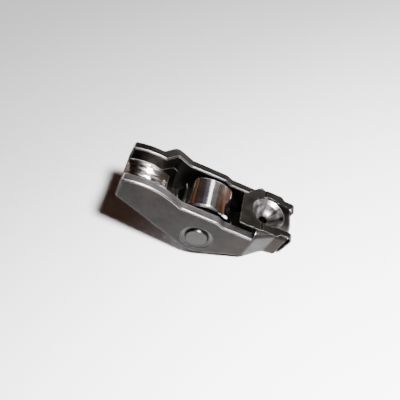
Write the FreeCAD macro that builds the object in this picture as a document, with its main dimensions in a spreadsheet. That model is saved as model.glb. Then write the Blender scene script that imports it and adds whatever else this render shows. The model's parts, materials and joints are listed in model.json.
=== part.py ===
import FreeCAD, Part
import math
import os
import re
import Sketcher

# Roller rocker arm (finger follower) of an overhead-camshaft engine, in millimetres.
# It lies on a table with its valve pad and ball socket up, on its roller and socket end.
# Lever axes: the axle centre is 0,0,0, X runs to the ball socket, Y runs along the axle
# and Z points from the cam side to the pad and socket side. Every piece but the needles is
# built in the lever axes and then tipped into the resting pose by one shared placement.
# The needles stand evenly round the axle and are placed in the resting pose at once.

SIZES = [
    ("half_width", 9.5, "axle centre plane to the outer face of a side wall"),
    ("wall", 2.8, "thickness of the side walls and of the socket web"),
    ("eye_radius", 6.45, "rounded lower edge of the walls about the axle"),
    ("edge_round", 0.35, "tumbled edges of the walls"),
    ("pallet_reach", 25.8, "axle to the valve end"),
    ("pallet_heel", 3.8, "height of the lower corner at the valve end"),
    ("pallet_heel_round", 1.6, "rounding of that corner"),
    ("rail_end_height", 10.9, "height of the guide rails at the valve end"),
    ("rail_end_round", 0.8, "rounding of the rails' upper corner there"),
    ("rail_peak_reach", 17.9, "axle to where the rails' two slopes would meet"),
    ("rail_peak_height", 13.3, "height of that point"),
    ("shoulder_reach", 8.4, "axle to the foot of the rail slope"),
    ("shoulder_height", 9.1, "top of the walls beside the roller"),
    ("step_start", 2.6, "start of the small step in the wall top"),
    ("step_end", 4.6, "end of that step"),
    ("low_height", 8.2, "top of the walls between roller and socket"),
    ("far_rail_face", 5.6, "outer face of the far rail, which stands closer in"),
    ("rail_jog_start", 17.4, "where the far wall leaves the rail line"),
    ("rail_jog_end", 14.0, "where the far wall reaches its full width"),
    ("jog_round", 1.05, "rounding of the walls' small bends, seen from above"),
    ("pad_centre", 19.8, "axle to the crest of the valve pad"),
    ("pad_height", 7.65, "height of the crest of the valve pad"),
    ("pad_radius", 14.0, "rolling curve of the valve pad"),
    ("pad_end", 13.3, "end of the ground part of the pad"),
    ("pad_lip", 11.3, "inner end of the pad web"),
    ("pad_lip_drop", 0.9, "fall of the lip from the pad to its end"),
    ("pad_lip_round", 0.6, "rounding of the end of the lip"),
    ("pad_under", 4.5, "underside of the pad web"),
    ("web_start", 13.2, "roller window to the socket web"),
    ("web_height", 10.6, "top of the socket web"),
    ("web_bend", 1.8, "outer bend of the socket web into the walls"),
    ("jog_start", 13.85, "where the walls turn in towards the socket"),
    ("jog_end", 19.6, "where the walls run straight again"),
    ("socket_half_width", 6.3, "half width over the walls at the socket end"),
    ("wall_end", 23.1, "axle to the end of the walls"),
    ("web_end", 24.1, "axle to the middle of the web's end"),
    ("web_corner", 23.3, "axle to the corners of the web's end"),
    ("heel_start", 18.6, "start of the level lower edge at the socket end"),
    ("heel_height", 2.0, "height of that lower edge"),
    ("heel_round", 1.0, "rounding of the lower corner at the socket end"),
    ("heel_bend", 2.0, "rounding where that edge begins"),
    ("socket_x", 16.2, "axle to the ball socket"),
    ("ball_radius", 4.2, "spherical seat of the socket"),
    ("ball_bottom", 6.95, "height of the deepest point of the seat"),
    ("mouth_lead", 0.8, "chamfered lead-in of the socket"),
    ("cup_wall", 2.4, "wall of the drawn cup under the seat"),
    ("cup_radius", 5.9, "upright outside of the cup"),
    ("oil_radius", 1.4, "oil hole in the seat"),
    ("roller_wall", 3.7, "thickness of the cam roller's ring"),
    ("roller_gap", 0.2, "cam roller to the thrust washer on each side"),
    ("roller_edge", 0.6, "chamfer of the roller's outer edges"),
    ("axle_radius", 4.0, "roller axle"),
    ("axle_proud", 0.08, "axle end beyond the wall face"),
    ("stake_inner", 3.0, "plain disc left in the middle of the axle end"),
    ("stake_root", 3.35, "bottom of the staked groove"),
    ("stake_outer", 4.7, "rim of the staked flare and of its countersink"),
    ("stake_depth", 0.5, "depth of the staked groove"),
    ("sink_depth", 0.8, "depth of the countersink"),
    ("needle_radius", 0.9, "bearing needle"),
    ("needle_gap", 0.015, "running clearance on each side of a needle"),
    ("needle_spacing", 0.004, "least space between neighbouring needles"),
    ("needle_end_gap", 0.1, "needle end to the roller's side face"),
    ("washer_thickness", 1.0, "thrust washer beside the roller"),
    ("washer_radius", 6.9, "outside of the thrust washer"),
    ("washer_fit", 0.05, "clearance of the washer on the axle"),
    ("clip_sheet", 0.45, "spring steel of the retaining clip"),
    ("clip_start", 8.0, "axle to the free edge of the clip plate"),
    ("clip_half_width", 7.4, "half width over the clip plate"),
    ("clip_tip_half_width", 6.3, "half width over the clip arms at their tips"),
    ("clip_waist", 19.4, "where the clip arms get narrower"),
    ("clip_slot", 4.45, "half distance between the clip arms"),
    ("clip_hole", 5.05, "clip hole around the socket mouth"),
    ("clip_corner_x", 11.0, "end of the cut far corner along the clip"),
    ("clip_corner_y", 3.0, "start of the cut far corner across the clip"),
    ("clip_step_start", 14.3, "foot of the step in the clip arms"),
    ("clip_step_end", 15.0, "top of the step in the clip arms"),
    ("clip_step", 0.35, "rise of the clip arms above the web"),
    ("clip_leg_top", 24.05, "inner face of the clip legs at the web"),
    ("clip_leg_gap", 0.05, "clip leg tip to the wall end"),
    ("clip_leg_bottom", 4.3, "lower end of the clip legs"),
    ("clip_bend", 1.2, "inner bend of the clip legs"),
]

BEYOND = 3.0
TOUCH = 0.01
NEARLY_ONE = 0.999
ALIASES = {alias for alias, number, meaning in SIZES}
X_AXIS = FreeCAD.Vector(1, 0, 0)
Y_AXIS = FreeCAD.Vector(0, 1, 0)
Z_AXIS = FreeCAD.Vector(0, 0, 1)
SIDE_VIEW = FreeCAD.Placement(FreeCAD.Vector(), FreeCAD.Rotation(X_AXIS, 90))

document = FreeCAD.newDocument("RollerRockerArm")


def make_sheet():
    """Put the driving dimensions on the sheet, one row each."""
    sheet = document.addObject("Spreadsheet::Sheet", "Sizes")
    for row, (alias, number, meaning) in enumerate(SIZES, start=1):
        sheet.set(f"A{row}", meaning)
        sheet.set(f"B{row}", str(number))
        sheet.setAlias(f"B{row}", alias)
    document.recompute()
    return sheet


def bound(formula):
    """Write a formula of size names as an expression on the sheet."""
    def name(found):
        word = found.group()
        return f"Sizes.{word}" if word in ALIASES else word
    return re.sub(r"[a-z][a-z_0-9]*", name, str(formula))


def worked_out(formula):
    """Give the present value of a formula of size names."""
    return float(sizes.evalExpression(bound(formula)))


def drive(thing, **formulas):
    """Bind properties of a document object to formulas of size names."""
    for name, formula in formulas.items():
        thing.setExpression(name.replace("__", "."), bound(formula))
    return thing


class Corner:
    """A corner of an outline, as formulas of size names.

    The rounding is its radius. With centre set, the corner is the centre of an arc that the
    neighbouring sides touch. The bow is the radius of the side that follows, where it is an arc.
    """

    def __init__(self, across, up, rounding=None, centre=False, bow=None):
        self.across = across
        self.up = up
        self.rounding = rounding
        self.centre = centre
        self.bow = bow

    def place(self):
        """Give the corner's present place on the drawing plane."""
        return FreeCAD.Vector(worked_out(self.across), worked_out(self.up), 0)


def tangent_ends(before, corner, after):
    """Find where the lines to the two neighbours leave the arc at a corner."""
    spot = corner.place()
    radius = worked_out(corner.rounding)
    if corner.centre:
        ends = []
        for other, side in ((before, 1), (after, -1)):
            away = other - spot
            turn = math.acos(radius / away.Length) * side
            angle = math.atan2(away.y, away.x) + turn
            ends.append(spot + FreeCAD.Vector(math.cos(angle), math.sin(angle), 0) * radius)
        return ends[0], ends[1], spot
    inward = (before - spot).normalize()
    outward = (after - spot).normalize()
    half = inward.getAngle(outward) / 2
    step = radius / math.tan(half)
    middle = spot + (inward + outward).normalize() * (radius / math.sin(half))
    return spot + inward * step, spot + outward * step, middle


def arc_between(centre, radius, start, end):
    """Make the shorter arc about a centre and tell whether it runs from start to end."""
    first = math.atan2(start.y - centre.y, start.x - centre.x)
    last = math.atan2(end.y - centre.y, end.x - centre.x)
    forward = (last - first) % (2 * math.pi) < math.pi
    circle = Part.Circle(centre, Z_AXIS, radius)
    if forward:
        return Part.ArcOfCircle(circle, first, last), True
    return Part.ArcOfCircle(circle, last, first), False


def draw_outline(sketch, corners):
    """Draw a closed outline whose corners, roundings and bows follow the sheet."""
    def tie(constraint, formula):
        row = sketch.addConstraint(constraint)
        sketch.setExpression(f"Constraints[{row}]", bound(formula))

    def pin(line, end, corner):
        across = worked_out(corner.across)
        up = worked_out(corner.up)
        tie(Sketcher.Constraint("DistanceX", -1, 1, line, end, across), corner.across)
        tie(Sketcher.Constraint("DistanceY", -1, 1, line, end, up), corner.up)

    def set_radius(line, formula):
        tie(Sketcher.Constraint("Radius", line, worked_out(formula)), formula)

    spots = [corner.place() for corner in corners]
    count = len(corners)
    arrive = []
    leave = []
    for index, corner in enumerate(corners):
        if corner.rounding is None:
            arrive.append(spots[index])
            leave.append(spots[index])
            continue
        start, end, middle = tangent_ends(spots[index - 1], corner, spots[(index + 1) % count])
        arrive.append(start)
        leave.append(end)
    runs = []
    for index, corner in enumerate(corners):
        start = leave[index]
        end = arrive[(index + 1) % count]
        if corner.bow is None:
            runs.append((sketch.addGeometry(Part.LineSegment(start, end), False), 1, 2))
            continue
        radius = worked_out(corner.bow)
        chord = end - start
        right = FreeCAD.Vector(chord.y, -chord.x, 0).normalize()
        rise = math.sqrt(radius ** 2 - (chord.Length / 2) ** 2)
        arc, forward = arc_between((start + end) * 0.5 - right * rise, radius, start, end)
        row = sketch.addGeometry(arc, False)
        set_radius(row, corner.bow)
        runs.append((row, 1, 2) if forward else (row, 2, 1))
    for index, corner in enumerate(corners):
        before, before_start, before_end = runs[index - 1]
        after, after_start, after_end = runs[index]
        if corner.rounding is None:
            meeting = Sketcher.Constraint("Coincident", before, before_end, after, after_start)
            sketch.addConstraint(meeting)
            pin(after, after_start, corner)
            continue
        start, end, middle = tangent_ends(spots[index - 1], corner, spots[(index + 1) % count])
        arc, forward = arc_between(middle, worked_out(corner.rounding), start, end)
        row = sketch.addGeometry(arc, False)
        first, last = (1, 2) if forward else (2, 1)
        sketch.addConstraint(Sketcher.Constraint("Tangent", before, before_end, row, first))
        sketch.addConstraint(Sketcher.Constraint("Tangent", row, last, after, after_start))
        set_radius(row, corner.rounding)
        if corner.centre:
            pin(row, 3, corner)
            continue
        mark = sketch.addGeometry(Part.Point(spots[index]), True)
        sketch.addConstraint(Sketcher.Constraint("PointOnObject", mark, 1, before))
        sketch.addConstraint(Sketcher.Constraint("PointOnObject", mark, 1, after))
        pin(mark, 1, corner)


def side_slab(name, corners, half_depth):
    """Extrude an outline seen from the side evenly to both sides of the middle plane."""
    sketch = document.addObject("Sketcher::SketchObject", f"{name}_outline")
    sketch.Placement = SIDE_VIEW
    draw_outline(sketch, corners)
    slab = document.addObject("Part::Extrusion", name)
    slab.Base = sketch
    slab.DirMode = "Custom"
    slab.Dir = Y_AXIS
    slab.Solid = True
    return drive(slab, LengthFwd=half_depth, LengthRev=half_depth)


def plan_slab(name, corners, bottom, top):
    """Extrude an outline seen from above between two heights."""
    sketch = document.addObject("Sketcher::SketchObject", f"{name}_outline")
    draw_outline(sketch, corners)
    slab = document.addObject("Part::Extrusion", name)
    slab.Base = sketch
    slab.DirMode = "Custom"
    slab.Dir = Z_AXIS
    slab.Solid = True
    return drive(slab, LengthFwd=top, LengthRev=f"-({bottom})")


def combine(kind, name, first, second):
    """Join, cut or intersect two document objects."""
    result = document.addObject(f"Part::{kind}", name)
    result.Base = first
    result.Tool = second
    return result


def worked_edges(kind, name, base, choose, formula):
    """Fillet or chamfer the edges of an object that a choice function picks."""
    document.recompute()
    worked = document.addObject(f"Part::{kind}", name)
    worked.Base = base
    size = worked_out(formula)
    chosen = [index for index, edge in enumerate(base.Shape.Edges, start=1) if choose(edge)]
    worked.Edges = [(index, size, size) for index in chosen]
    return worked


def middle_of(edge):
    """Give the point halfway along an edge."""
    return edge.valueAt((edge.FirstParameter + edge.LastParameter) / 2)


def direction_of(edge):
    """Give the direction from one end of an edge to the other."""
    chord = edge.valueAt(edge.LastParameter) - edge.valueAt(edge.FirstParameter)
    return chord.normalize() if chord.Length > TOUCH else chord


def turned_body(name, corners):
    """Revolve an outline of length along the axle and radius about the axle line."""
    body = document.addObject("PartDesign::Body", name)
    sketch = body.newObject("Sketcher::SketchObject", f"{name}_section")
    plane = [item for item in body.Origin.OriginFeatures if item.Role == "YZ_Plane"][0]
    sketch.AttachmentSupport = (plane, [""])
    sketch.MapMode = "FlatFace"
    draw_outline(sketch, corners)
    revolve = body.newObject("PartDesign::Revolution", f"{name}_turned")
    revolve.Profile = sketch
    revolve.ReferenceAxis = (sketch, ["H_Axis"])
    revolve.Angle = 360.0
    return body


sizes = make_sheet()

# How far a wall corner moves along the lever when the wall is offset by its thickness
FAR_SHIFT = (
    "wall * (sqrt((rail_jog_start - rail_jog_end)^2 + (half_width - far_rail_face)^2)"
    " - (rail_jog_start - rail_jog_end)) / (half_width - far_rail_face)"
)
SOCKET_SHIFT = (
    "wall * (sqrt((jog_end - jog_start)^2 + (half_width - socket_half_width)^2)"
    " - (jog_end - jog_start)) / (half_width - socket_half_width)"
)
# How far the crest's curve reaches from the point where the rails' slopes would meet
END_SLOPE = "sqrt((pallet_reach - rail_peak_reach)^2 + (rail_peak_height - rail_end_height)^2)"
FOOT_SLOPE = "sqrt((rail_peak_reach - shoulder_reach)^2 + (rail_peak_height - shoulder_height)^2)"
CREST_REACH = f"(min({END_SLOPE}; {FOOT_SLOPE}) - rail_end_round)"
CREST_TURN = (
    "(atan2(rail_peak_height - shoulder_height; rail_peak_reach - shoulder_reach)"
    " + atan2(rail_peak_height - rail_end_height; pallet_reach - rail_peak_reach))"
)
CREST_RADIUS = f"({CREST_REACH} / tan({CREST_TURN} / 2))"
RACE_RADIUS = "(axle_radius + 2 * (needle_radius + needle_gap))"
ROLLER_RADIUS = f"({RACE_RADIUS} + roller_wall)"
ROLLER_SIDE = "(half_width - wall - washer_thickness - roller_gap)"
BLANK_DEPTH = f"half_width + {BEYOND}"
FLOOR = f"-({ROLLER_RADIUS} + {BEYOND})"
CEILING = "rail_peak_height"
BALL_HEIGHT = "(ball_bottom + ball_radius)"


def make_blank():
    """Make the full-width blank: the side outline within the outer plan outline."""
    side = side_slab("blank_side", [
        Corner("-pallet_reach", "pallet_heel", "pallet_heel_round"),
        Corner("0", "0", "eye_radius", centre=True),
        Corner("heel_start", "heel_height", "heel_bend"),
        Corner("wall_end", "heel_height", "heel_round"),
        Corner("wall_end", "web_height - wall"),
        Corner(f"web_end + {BEYOND}", "web_height - wall"),
        Corner(f"web_end + {BEYOND}", "web_height"),
        Corner("web_start", "web_height"),
        Corner("web_start", "low_height"),
        Corner("step_end", "low_height", "step_end - step_start"),
        Corner("step_start", "shoulder_height", "step_end - step_start"),
        Corner("-shoulder_reach", "shoulder_height", "wall"),
        Corner("-rail_peak_reach", "rail_peak_height", CREST_RADIUS),
        Corner("-pallet_reach", "rail_end_height", "rail_end_round"),
    ], BLANK_DEPTH)
    plan = plan_slab("blank_plan", [
        Corner(f"-(pallet_reach + {BEYOND})", "-half_width"),
        Corner("jog_start", "-half_width", "web_bend + edge_round"),
        Corner("jog_end", "-socket_half_width", "jog_round"),
        Corner("web_corner", "-socket_half_width", "heel_round"),
        Corner("web_end", "0", "pad_radius"),
        Corner("web_corner", "socket_half_width", "heel_round"),
        Corner("jog_end", "socket_half_width", "jog_round"),
        Corner("jog_start", "half_width", "web_bend + edge_round"),
        Corner("-rail_jog_end", "half_width", "wall"),
        Corner("-rail_jog_start", "far_rail_face", "jog_round"),
        Corner(f"-(pallet_reach + {BEYOND})", "far_rail_face"),
    ], FLOOR, CEILING)
    return combine("Common", "blank", side, plan)


def make_webs():
    """Make the pad web and the socket web as slabs across the whole lever."""
    fall = "(pad_height - pad_radius + sqrt(pad_radius^2 - (pad_centre - {0})^2))"
    outer_end = f"(pallet_reach + {BEYOND} / 2)"
    pad = side_slab("pad_web", [
        Corner(f"-{outer_end}", "pad_under"),
        Corner("-pad_lip", "pad_under"),
        Corner("-pad_lip", f"{fall.format('pad_end')} - pad_lip_drop", "pad_lip_round"),
        Corner("-pad_end", fall.format("pad_end"), bow="pad_radius"),
        Corner(f"-{outer_end}", fall.format(outer_end)),
    ], BLANK_DEPTH)
    web = side_slab("socket_web", [
        Corner("web_start", "web_height - wall"),
        Corner(f"web_end + {BEYOND} * 2", "web_height - wall"),
        Corner(f"web_end + {BEYOND} * 2", f"web_height + {BEYOND}"),
        Corner("web_start", f"web_height + {BEYOND}"),
    ], BLANK_DEPTH)
    return combine("Fuse", "webs", pad, web)


def make_channel():
    """Make the space between the walls, before the webs are taken out of it."""
    return plan_slab("channel", [
        Corner(f"-(pallet_reach + {BEYOND})", "wall - half_width"),
        Corner(f"jog_start - {SOCKET_SHIFT}", "wall - half_width"),
        Corner(f"jog_end - {SOCKET_SHIFT}", "wall - socket_half_width"),
        Corner(f"web_end + {BEYOND}", "wall - socket_half_width"),
        Corner(f"web_end + {BEYOND}", "socket_half_width - wall"),
        Corner(f"jog_end - {SOCKET_SHIFT}", "socket_half_width - wall"),
        Corner(f"jog_start - {SOCKET_SHIFT}", "half_width - wall"),
        Corner(f"{FAR_SHIFT} - rail_jog_end", "half_width - wall"),
        Corner(f"{FAR_SHIFT} - rail_jog_start", "far_rail_face - wall", "jog_round"),
        Corner(f"-(pallet_reach + {BEYOND})", "far_rail_face - wall"),
    ], FLOOR, CEILING)


def make_cup():
    """Make the outside of the drawn cup that holds the ball seat."""
    ball = drive(
        document.addObject("Part::Sphere", "cup_ball"),
        Radius="ball_radius + cup_wall",
        Placement__Base__x="socket_x",
        Placement__Base__z=BALL_HEIGHT,
    )
    post = drive(
        document.addObject("Part::Cylinder", "cup_post"),
        Radius="cup_radius",
        Height="web_height",
        Placement__Base__x="socket_x",
    )
    return combine("Common", "cup", ball, post)


def make_seat():
    """Make the ball, its mouth and the oil hole that are cut from the cup."""
    mouth = "sqrt(ball_radius^2 - (ball_bottom + ball_radius - web_height)^2)"
    ball = drive(
        document.addObject("Part::Sphere", "seat_ball"),
        Radius="ball_radius",
        Placement__Base__x="socket_x",
        Placement__Base__z=BALL_HEIGHT,
    )
    bore = drive(
        document.addObject("Part::Cylinder", "seat_mouth"),
        Radius=mouth,
        Height=str(BEYOND),
        Placement__Base__x="socket_x",
        Placement__Base__z="web_height",
    )
    oil = drive(
        document.addObject("Part::Cylinder", "oil_hole"),
        Radius="oil_radius",
        Height="ball_bottom + ball_radius",
        Placement__Base__x="socket_x",
    )
    return combine("Fuse", "seat", combine("Fuse", "seat_bore", ball, bore), oil)


def make_axle_bore():
    """Make the bore through both walls with a countersink on each outer face."""
    span = drive(
        document.addObject("Part::Cylinder", "axle_bore"),
        Radius="axle_radius",
        Height=f"2 * (half_width + {BEYOND})",
        Placement__Base__y=f"half_width + {BEYOND}",
    )
    span.Placement.Rotation = SIDE_VIEW.Rotation
    cut = span
    for name, turn, side in (("near_sink", 90, -1), ("far_sink", -90, 1)):
        sink = drive(
            document.addObject("Part::Cone", name),
            Radius1="axle_radius",
            Radius2="stake_outer",
            Height="sink_depth",
            Placement__Base__y=f"{side} * (half_width - sink_depth)",
        )
        sink.Placement.Rotation = FreeCAD.Rotation(X_AXIS, turn)
        cut = combine("Fuse", f"{name}_bore", cut, sink)
    return cut


def is_web_bend(edge):
    """Pick the outer edges of the socket web's top, where it is bent into the walls."""
    spot = middle_of(edge)
    along = abs(direction_of(edge).y) < NEARLY_ONE
    return along and spot.x > worked_out("web_start") + TOUCH and on_web_top(spot.z)


def on_web_top(height):
    """Tell whether a height is that of the socket web's top."""
    return abs(height - worked_out("web_height")) < TOUCH


def is_outer_edge(edge):
    """Pick the outer edges of the walls that tumbling breaks."""
    spot = middle_of(edge)
    flow = direction_of(edge)
    upright = abs(flow.z) > NEARLY_ONE and spot.x > TOUCH - worked_out("pallet_reach")
    beside_web = spot.x > worked_out("web_start") - TOUCH and spot.z > worked_out("heel_height") + TOUCH
    if abs(flow.y) > NEARLY_ONE or upright or beside_web:
        return False
    return spot.x < worked_out("wall_end - heel_round")


def is_facing_edge(edge):
    """Pick the edges of the faces that the two walls turn to each other."""
    spot = middle_of(edge)
    flow = direction_of(edge)
    upright = abs(flow.z) > NEARLY_ONE and spot.x > TOUCH - worked_out("pallet_reach")
    if abs(flow.y) > NEARLY_ONE or upright or spot.x > worked_out("web_start - wall"):
        return False
    near_face = worked_out("wall - half_width")
    rail_face = worked_out("far_rail_face - wall")
    far_face = worked_out("half_width - wall")
    if spot.y < 0:
        return abs(spot.y - near_face) < TOUCH
    ends = [vertex.Point.y for vertex in edge.Vertexes]
    return all(rail_face - TOUCH < end < far_face + TOUCH for end in ends) and is_inner_line(spot)


def is_inner_line(spot):
    """Tell whether a point lies on the inner face of the far wall, seen from above."""
    far_face = worked_out("half_width - wall")
    rail_face = worked_out("far_rail_face - wall")
    start = worked_out(f"{FAR_SHIFT} - rail_jog_start")
    end = worked_out(f"{FAR_SHIFT} - rail_jog_end")
    share = min(max((spot.x - start) / (end - start), 0), 1)
    return abs(spot.y - rail_face - share * (far_face - rail_face)) < worked_out("edge_round")


def is_mouth_edge(edge):
    """Pick the edge where the ball seat opens through the top of the socket web."""
    spot = edge.BoundBox.Center
    central = abs(spot.x - worked_out("socket_x")) < TOUCH and abs(spot.y) < TOUCH
    small = edge.BoundBox.XLength < worked_out("2 * ball_radius") + TOUCH
    return central and small and on_web_top(edge.BoundBox.ZMax)


def make_lever():
    """Hollow the blank to two walls, join them with webs and cut socket and bore."""
    bent = worked_edges("Fillet", "bent_blank", make_blank(), is_web_bend, "web_bend")
    blank = worked_edges("Chamfer", "tumbled_blank", bent, is_outer_edge, "edge_round")
    sides = combine("Cut", "sides", blank, make_channel())
    walls = worked_edges("Chamfer", "walls", sides, is_facing_edge, "edge_round")
    shell = combine("Fuse", "shell", walls, combine("Common", "infill", blank, make_webs()))
    cupped = combine("Fuse", "cupped_shell", shell, make_cup())
    seated = combine("Cut", "seated_shell", cupped, make_seat())
    opened = worked_edges("Chamfer", "opened_shell", seated, is_mouth_edge, "mouth_lead")
    return combine("Cut", "bored_shell", opened, make_axle_bore())


def make_axle():
    """Turn the axle with its ends flared into the countersinks by staking."""
    end = "(half_width + axle_proud)"
    groove = "(half_width - stake_depth)"
    sink = "(half_width - sink_depth)"
    return turned_body("roller_axle", [
        Corner(f"-{end}", "0"),
        Corner(end, "0"),
        Corner(end, "stake_inner"),
        Corner(groove, "stake_root"),
        Corner("half_width", "stake_outer"),
        Corner(sink, "axle_radius"),
        Corner(f"-{sink}", "axle_radius"),
        Corner("-half_width", "stake_outer"),
        Corner(f"-{groove}", "stake_root"),
        Corner(f"-{end}", "stake_inner"),
    ])


def make_roller():
    """Turn the cam roller, a plain ring with chamfered edges."""
    land = f"({ROLLER_SIDE} - roller_edge)"
    return turned_body("cam_roller", [
        Corner(f"-{ROLLER_SIDE}", RACE_RADIUS),
        Corner(ROLLER_SIDE, RACE_RADIUS),
        Corner(ROLLER_SIDE, f"{ROLLER_RADIUS} - roller_edge"),
        Corner(land, ROLLER_RADIUS),
        Corner(f"-{land}", ROLLER_RADIUS),
        Corner(f"-{ROLLER_SIDE}", f"{ROLLER_RADIUS} - roller_edge"),
    ])


def make_washer(name, side):
    """Turn the thrust washer that lies on the inner face of one wall."""
    seat = f"({side} * (half_width - wall))"
    free = f"({side} * (half_width - wall - washer_thickness))"
    return turned_body(name, [
        Corner(seat, "axle_radius + washer_fit"),
        Corner(free, "axle_radius + washer_fit"),
        Corner(free, "washer_radius"),
        Corner(seat, "washer_radius"),
    ])


def make_needles():
    """Fill the space between axle and roller with as many needles as go round."""
    pitch = "(axle_radius + needle_gap + needle_radius)"
    length = f"(2 * ({ROLLER_SIDE} - needle_end_gap))"
    share = worked_out(f"(needle_radius + needle_spacing / 2) / {pitch}")
    count = math.floor(math.pi / math.asin(share))
    needles = []
    for number in range(count):
        angle = f"(360 * {number} / {count})"
        needle = drive(
            document.addObject("Part::Cylinder", f"needle_{number + 1:02d}"),
            Radius="needle_radius",
            Height=length,
            Placement__Base__x=f"{pitch} * cos({angle})",
            Placement__Base__y=f"{length} / 2",
            Placement__Base__z=f"{ROLLER_RADIUS} + {pitch} * sin({angle})",
        )
        needle.Placement.Rotation = SIDE_VIEW.Rotation
        needles.append(needle)
    return needles


def make_clip():
    """Bend the retaining clip: a holed plate, two stepped arms and two legs."""
    run = "(clip_step_end - clip_step_start)"
    slope_shift = f"(clip_sheet * (sqrt({run}^2 + clip_step^2) - {run}) / clip_step)"
    leg_tip = "(wall_end + clip_leg_gap)"
    raised_top = "web_height + clip_step + clip_sheet"
    side = side_slab("clip_side", [
        Corner("clip_start", "web_height"),
        Corner("clip_step_start", "web_height"),
        Corner("clip_step_end", "web_height + clip_step"),
        Corner("clip_leg_top", "web_height + clip_step", "clip_bend"),
        Corner(leg_tip, "clip_leg_bottom"),
        Corner(f"{leg_tip} + clip_sheet", "clip_leg_bottom"),
        Corner("clip_leg_top + clip_sheet", raised_top, "clip_bend + clip_sheet"),
        Corner(f"clip_step_end - {slope_shift}", raised_top),
        Corner(f"clip_step_start - {slope_shift}", "web_height + clip_sheet"),
        Corner("clip_start", "web_height + clip_sheet"),
    ], BLANK_DEPTH)
    taper = "clip_half_width - clip_tip_half_width"
    waist_end = f"clip_waist + {taper}"
    beyond = f"web_end + {BEYOND}"
    plan = plan_slab("clip_plan", [
        Corner("clip_start", "-clip_half_width", "clip_sheet"),
        Corner("clip_waist", "-clip_half_width", "clip_sheet"),
        Corner(waist_end, "-clip_tip_half_width", "clip_sheet"),
        Corner(beyond, "-clip_tip_half_width"),
        Corner(beyond, "-clip_slot"),
        Corner("socket_x", "-clip_slot"),
        Corner("socket_x", "clip_slot"),
        Corner(beyond, "clip_slot"),
        Corner(beyond, "clip_tip_half_width"),
        Corner(waist_end, "clip_tip_half_width", "clip_sheet"),
        Corner("clip_waist", "clip_half_width", "clip_sheet"),
        Corner(f"clip_corner_x + {taper}", "clip_half_width", "clip_sheet"),
        Corner("clip_start", "clip_corner_y", "clip_sheet"),
    ], FLOOR, CEILING)
    hole = drive(
        document.addObject("Part::Cylinder", "clip_hole_cut"),
        Radius="clip_hole",
        Height=f"web_height + {BEYOND}",
        Placement__Base__x="socket_x",
    )
    return combine("Cut", "holed_clip", combine("Common", "clip_band", side, plan), hole)


def rest(piece):
    """Tip a piece into the resting pose, on the roller and the socket end's heels."""
    reach = "(wall_end - heel_round)"
    rise = "(heel_height + heel_round)"
    span = f"sqrt({reach}^2 + {rise}^2)"
    lean = f"atan2({rise}; {reach}) + asin(({ROLLER_RADIUS} - heel_round) / {span})"
    piece.Placement = FreeCAD.Placement(FreeCAD.Vector(), FreeCAD.Rotation(Y_AXIS, 1))
    drive(piece, Placement__Rotation__Angle=lean, Placement__Base__z=ROLLER_RADIUS)


def build():
    """Build every piece, check it and write one file for each."""
    pieces = {
        "lever_body": make_lever(),
        "roller_axle": make_axle(),
        "cam_roller": make_roller(),
        "thrust_washer_near": make_washer("thrust_washer_near", -1),
        "thrust_washer_far": make_washer("thrust_washer_far", 1),
        "retaining_clip": make_clip(),
    }
    for piece in pieces.values():
        rest(piece)
    for number, needle in enumerate(make_needles(), start=1):
        pieces[f"needle_{number:02d}"] = needle
    for name, piece in pieces.items():
        piece.Label = name
    document.recompute()
    for item in document.Objects:
        if "Invalid" in item.State or "Error" in item.State:
            raise RuntimeError(f"{item.Name} did not build: {item.State}")
    for name, piece in pieces.items():
        shape = piece.Shape
        if shape.isNull() or not shape.isValid() or not shape.Solids:
            raise RuntimeError(f"{name} has no valid solid")
    os.makedirs("parts", exist_ok=True)
    for name, piece in pieces.items():
        piece.Shape.exportStep(f"parts/{name}.step")


build()
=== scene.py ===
import json
import math

import bmesh
import bpy
from bpy.props import FloatProperty, FloatVectorProperty, IntProperty, PointerProperty
from mathutils import Matrix, Vector


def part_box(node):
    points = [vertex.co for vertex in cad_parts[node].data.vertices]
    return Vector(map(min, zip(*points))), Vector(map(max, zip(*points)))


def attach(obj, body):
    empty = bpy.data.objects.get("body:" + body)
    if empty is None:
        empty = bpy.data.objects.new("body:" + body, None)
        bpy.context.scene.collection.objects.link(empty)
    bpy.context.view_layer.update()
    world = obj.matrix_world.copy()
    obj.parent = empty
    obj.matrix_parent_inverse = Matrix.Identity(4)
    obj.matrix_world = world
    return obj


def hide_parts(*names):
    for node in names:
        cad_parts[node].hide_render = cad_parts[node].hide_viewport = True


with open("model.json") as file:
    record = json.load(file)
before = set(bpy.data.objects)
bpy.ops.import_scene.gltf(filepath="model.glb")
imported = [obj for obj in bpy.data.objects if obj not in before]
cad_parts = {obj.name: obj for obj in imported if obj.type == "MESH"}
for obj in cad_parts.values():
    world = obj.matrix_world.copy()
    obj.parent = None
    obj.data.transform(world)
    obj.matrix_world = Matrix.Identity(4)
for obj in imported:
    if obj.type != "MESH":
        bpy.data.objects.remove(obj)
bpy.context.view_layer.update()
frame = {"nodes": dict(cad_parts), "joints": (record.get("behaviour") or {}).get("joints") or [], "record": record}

bl_info = {
    "name": "Roller rocker arm",
    "version": (1, 0, 0),
    "blender": (4, 5, 0),
    "location": "3D View > Sidebar > Rocker arm",
    "description": "Dresses the packed rocker arm in its steels and sets it on a pale table",
    "category": "Object",
}

MM = 0.001

# The part as it rests in the frame
MOUNTS = {mount["name"]: mount for mount in frame["record"]["mounts"]}
SOCKET_AXIS = Vector(MOUNTS["ball_socket"]["axis"])
TOWARD_PAD = Vector((-SOCKET_AXIS.z, 0, SOCKET_AXIS.x))
LEAN = math.atan2(SOCKET_AXIS.x, SOCKET_AXIS.z)
AXLE = Vector(frame["joints"][0]["pos_m"])
ROLLER_LOW, ROLLER_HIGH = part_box("cam_roller")
NEEDLES = sorted(name for name in frame["nodes"] if name.startswith("needle_"))
WASHERS = ("thrust_washer_near", "thrust_washer_far")

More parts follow.
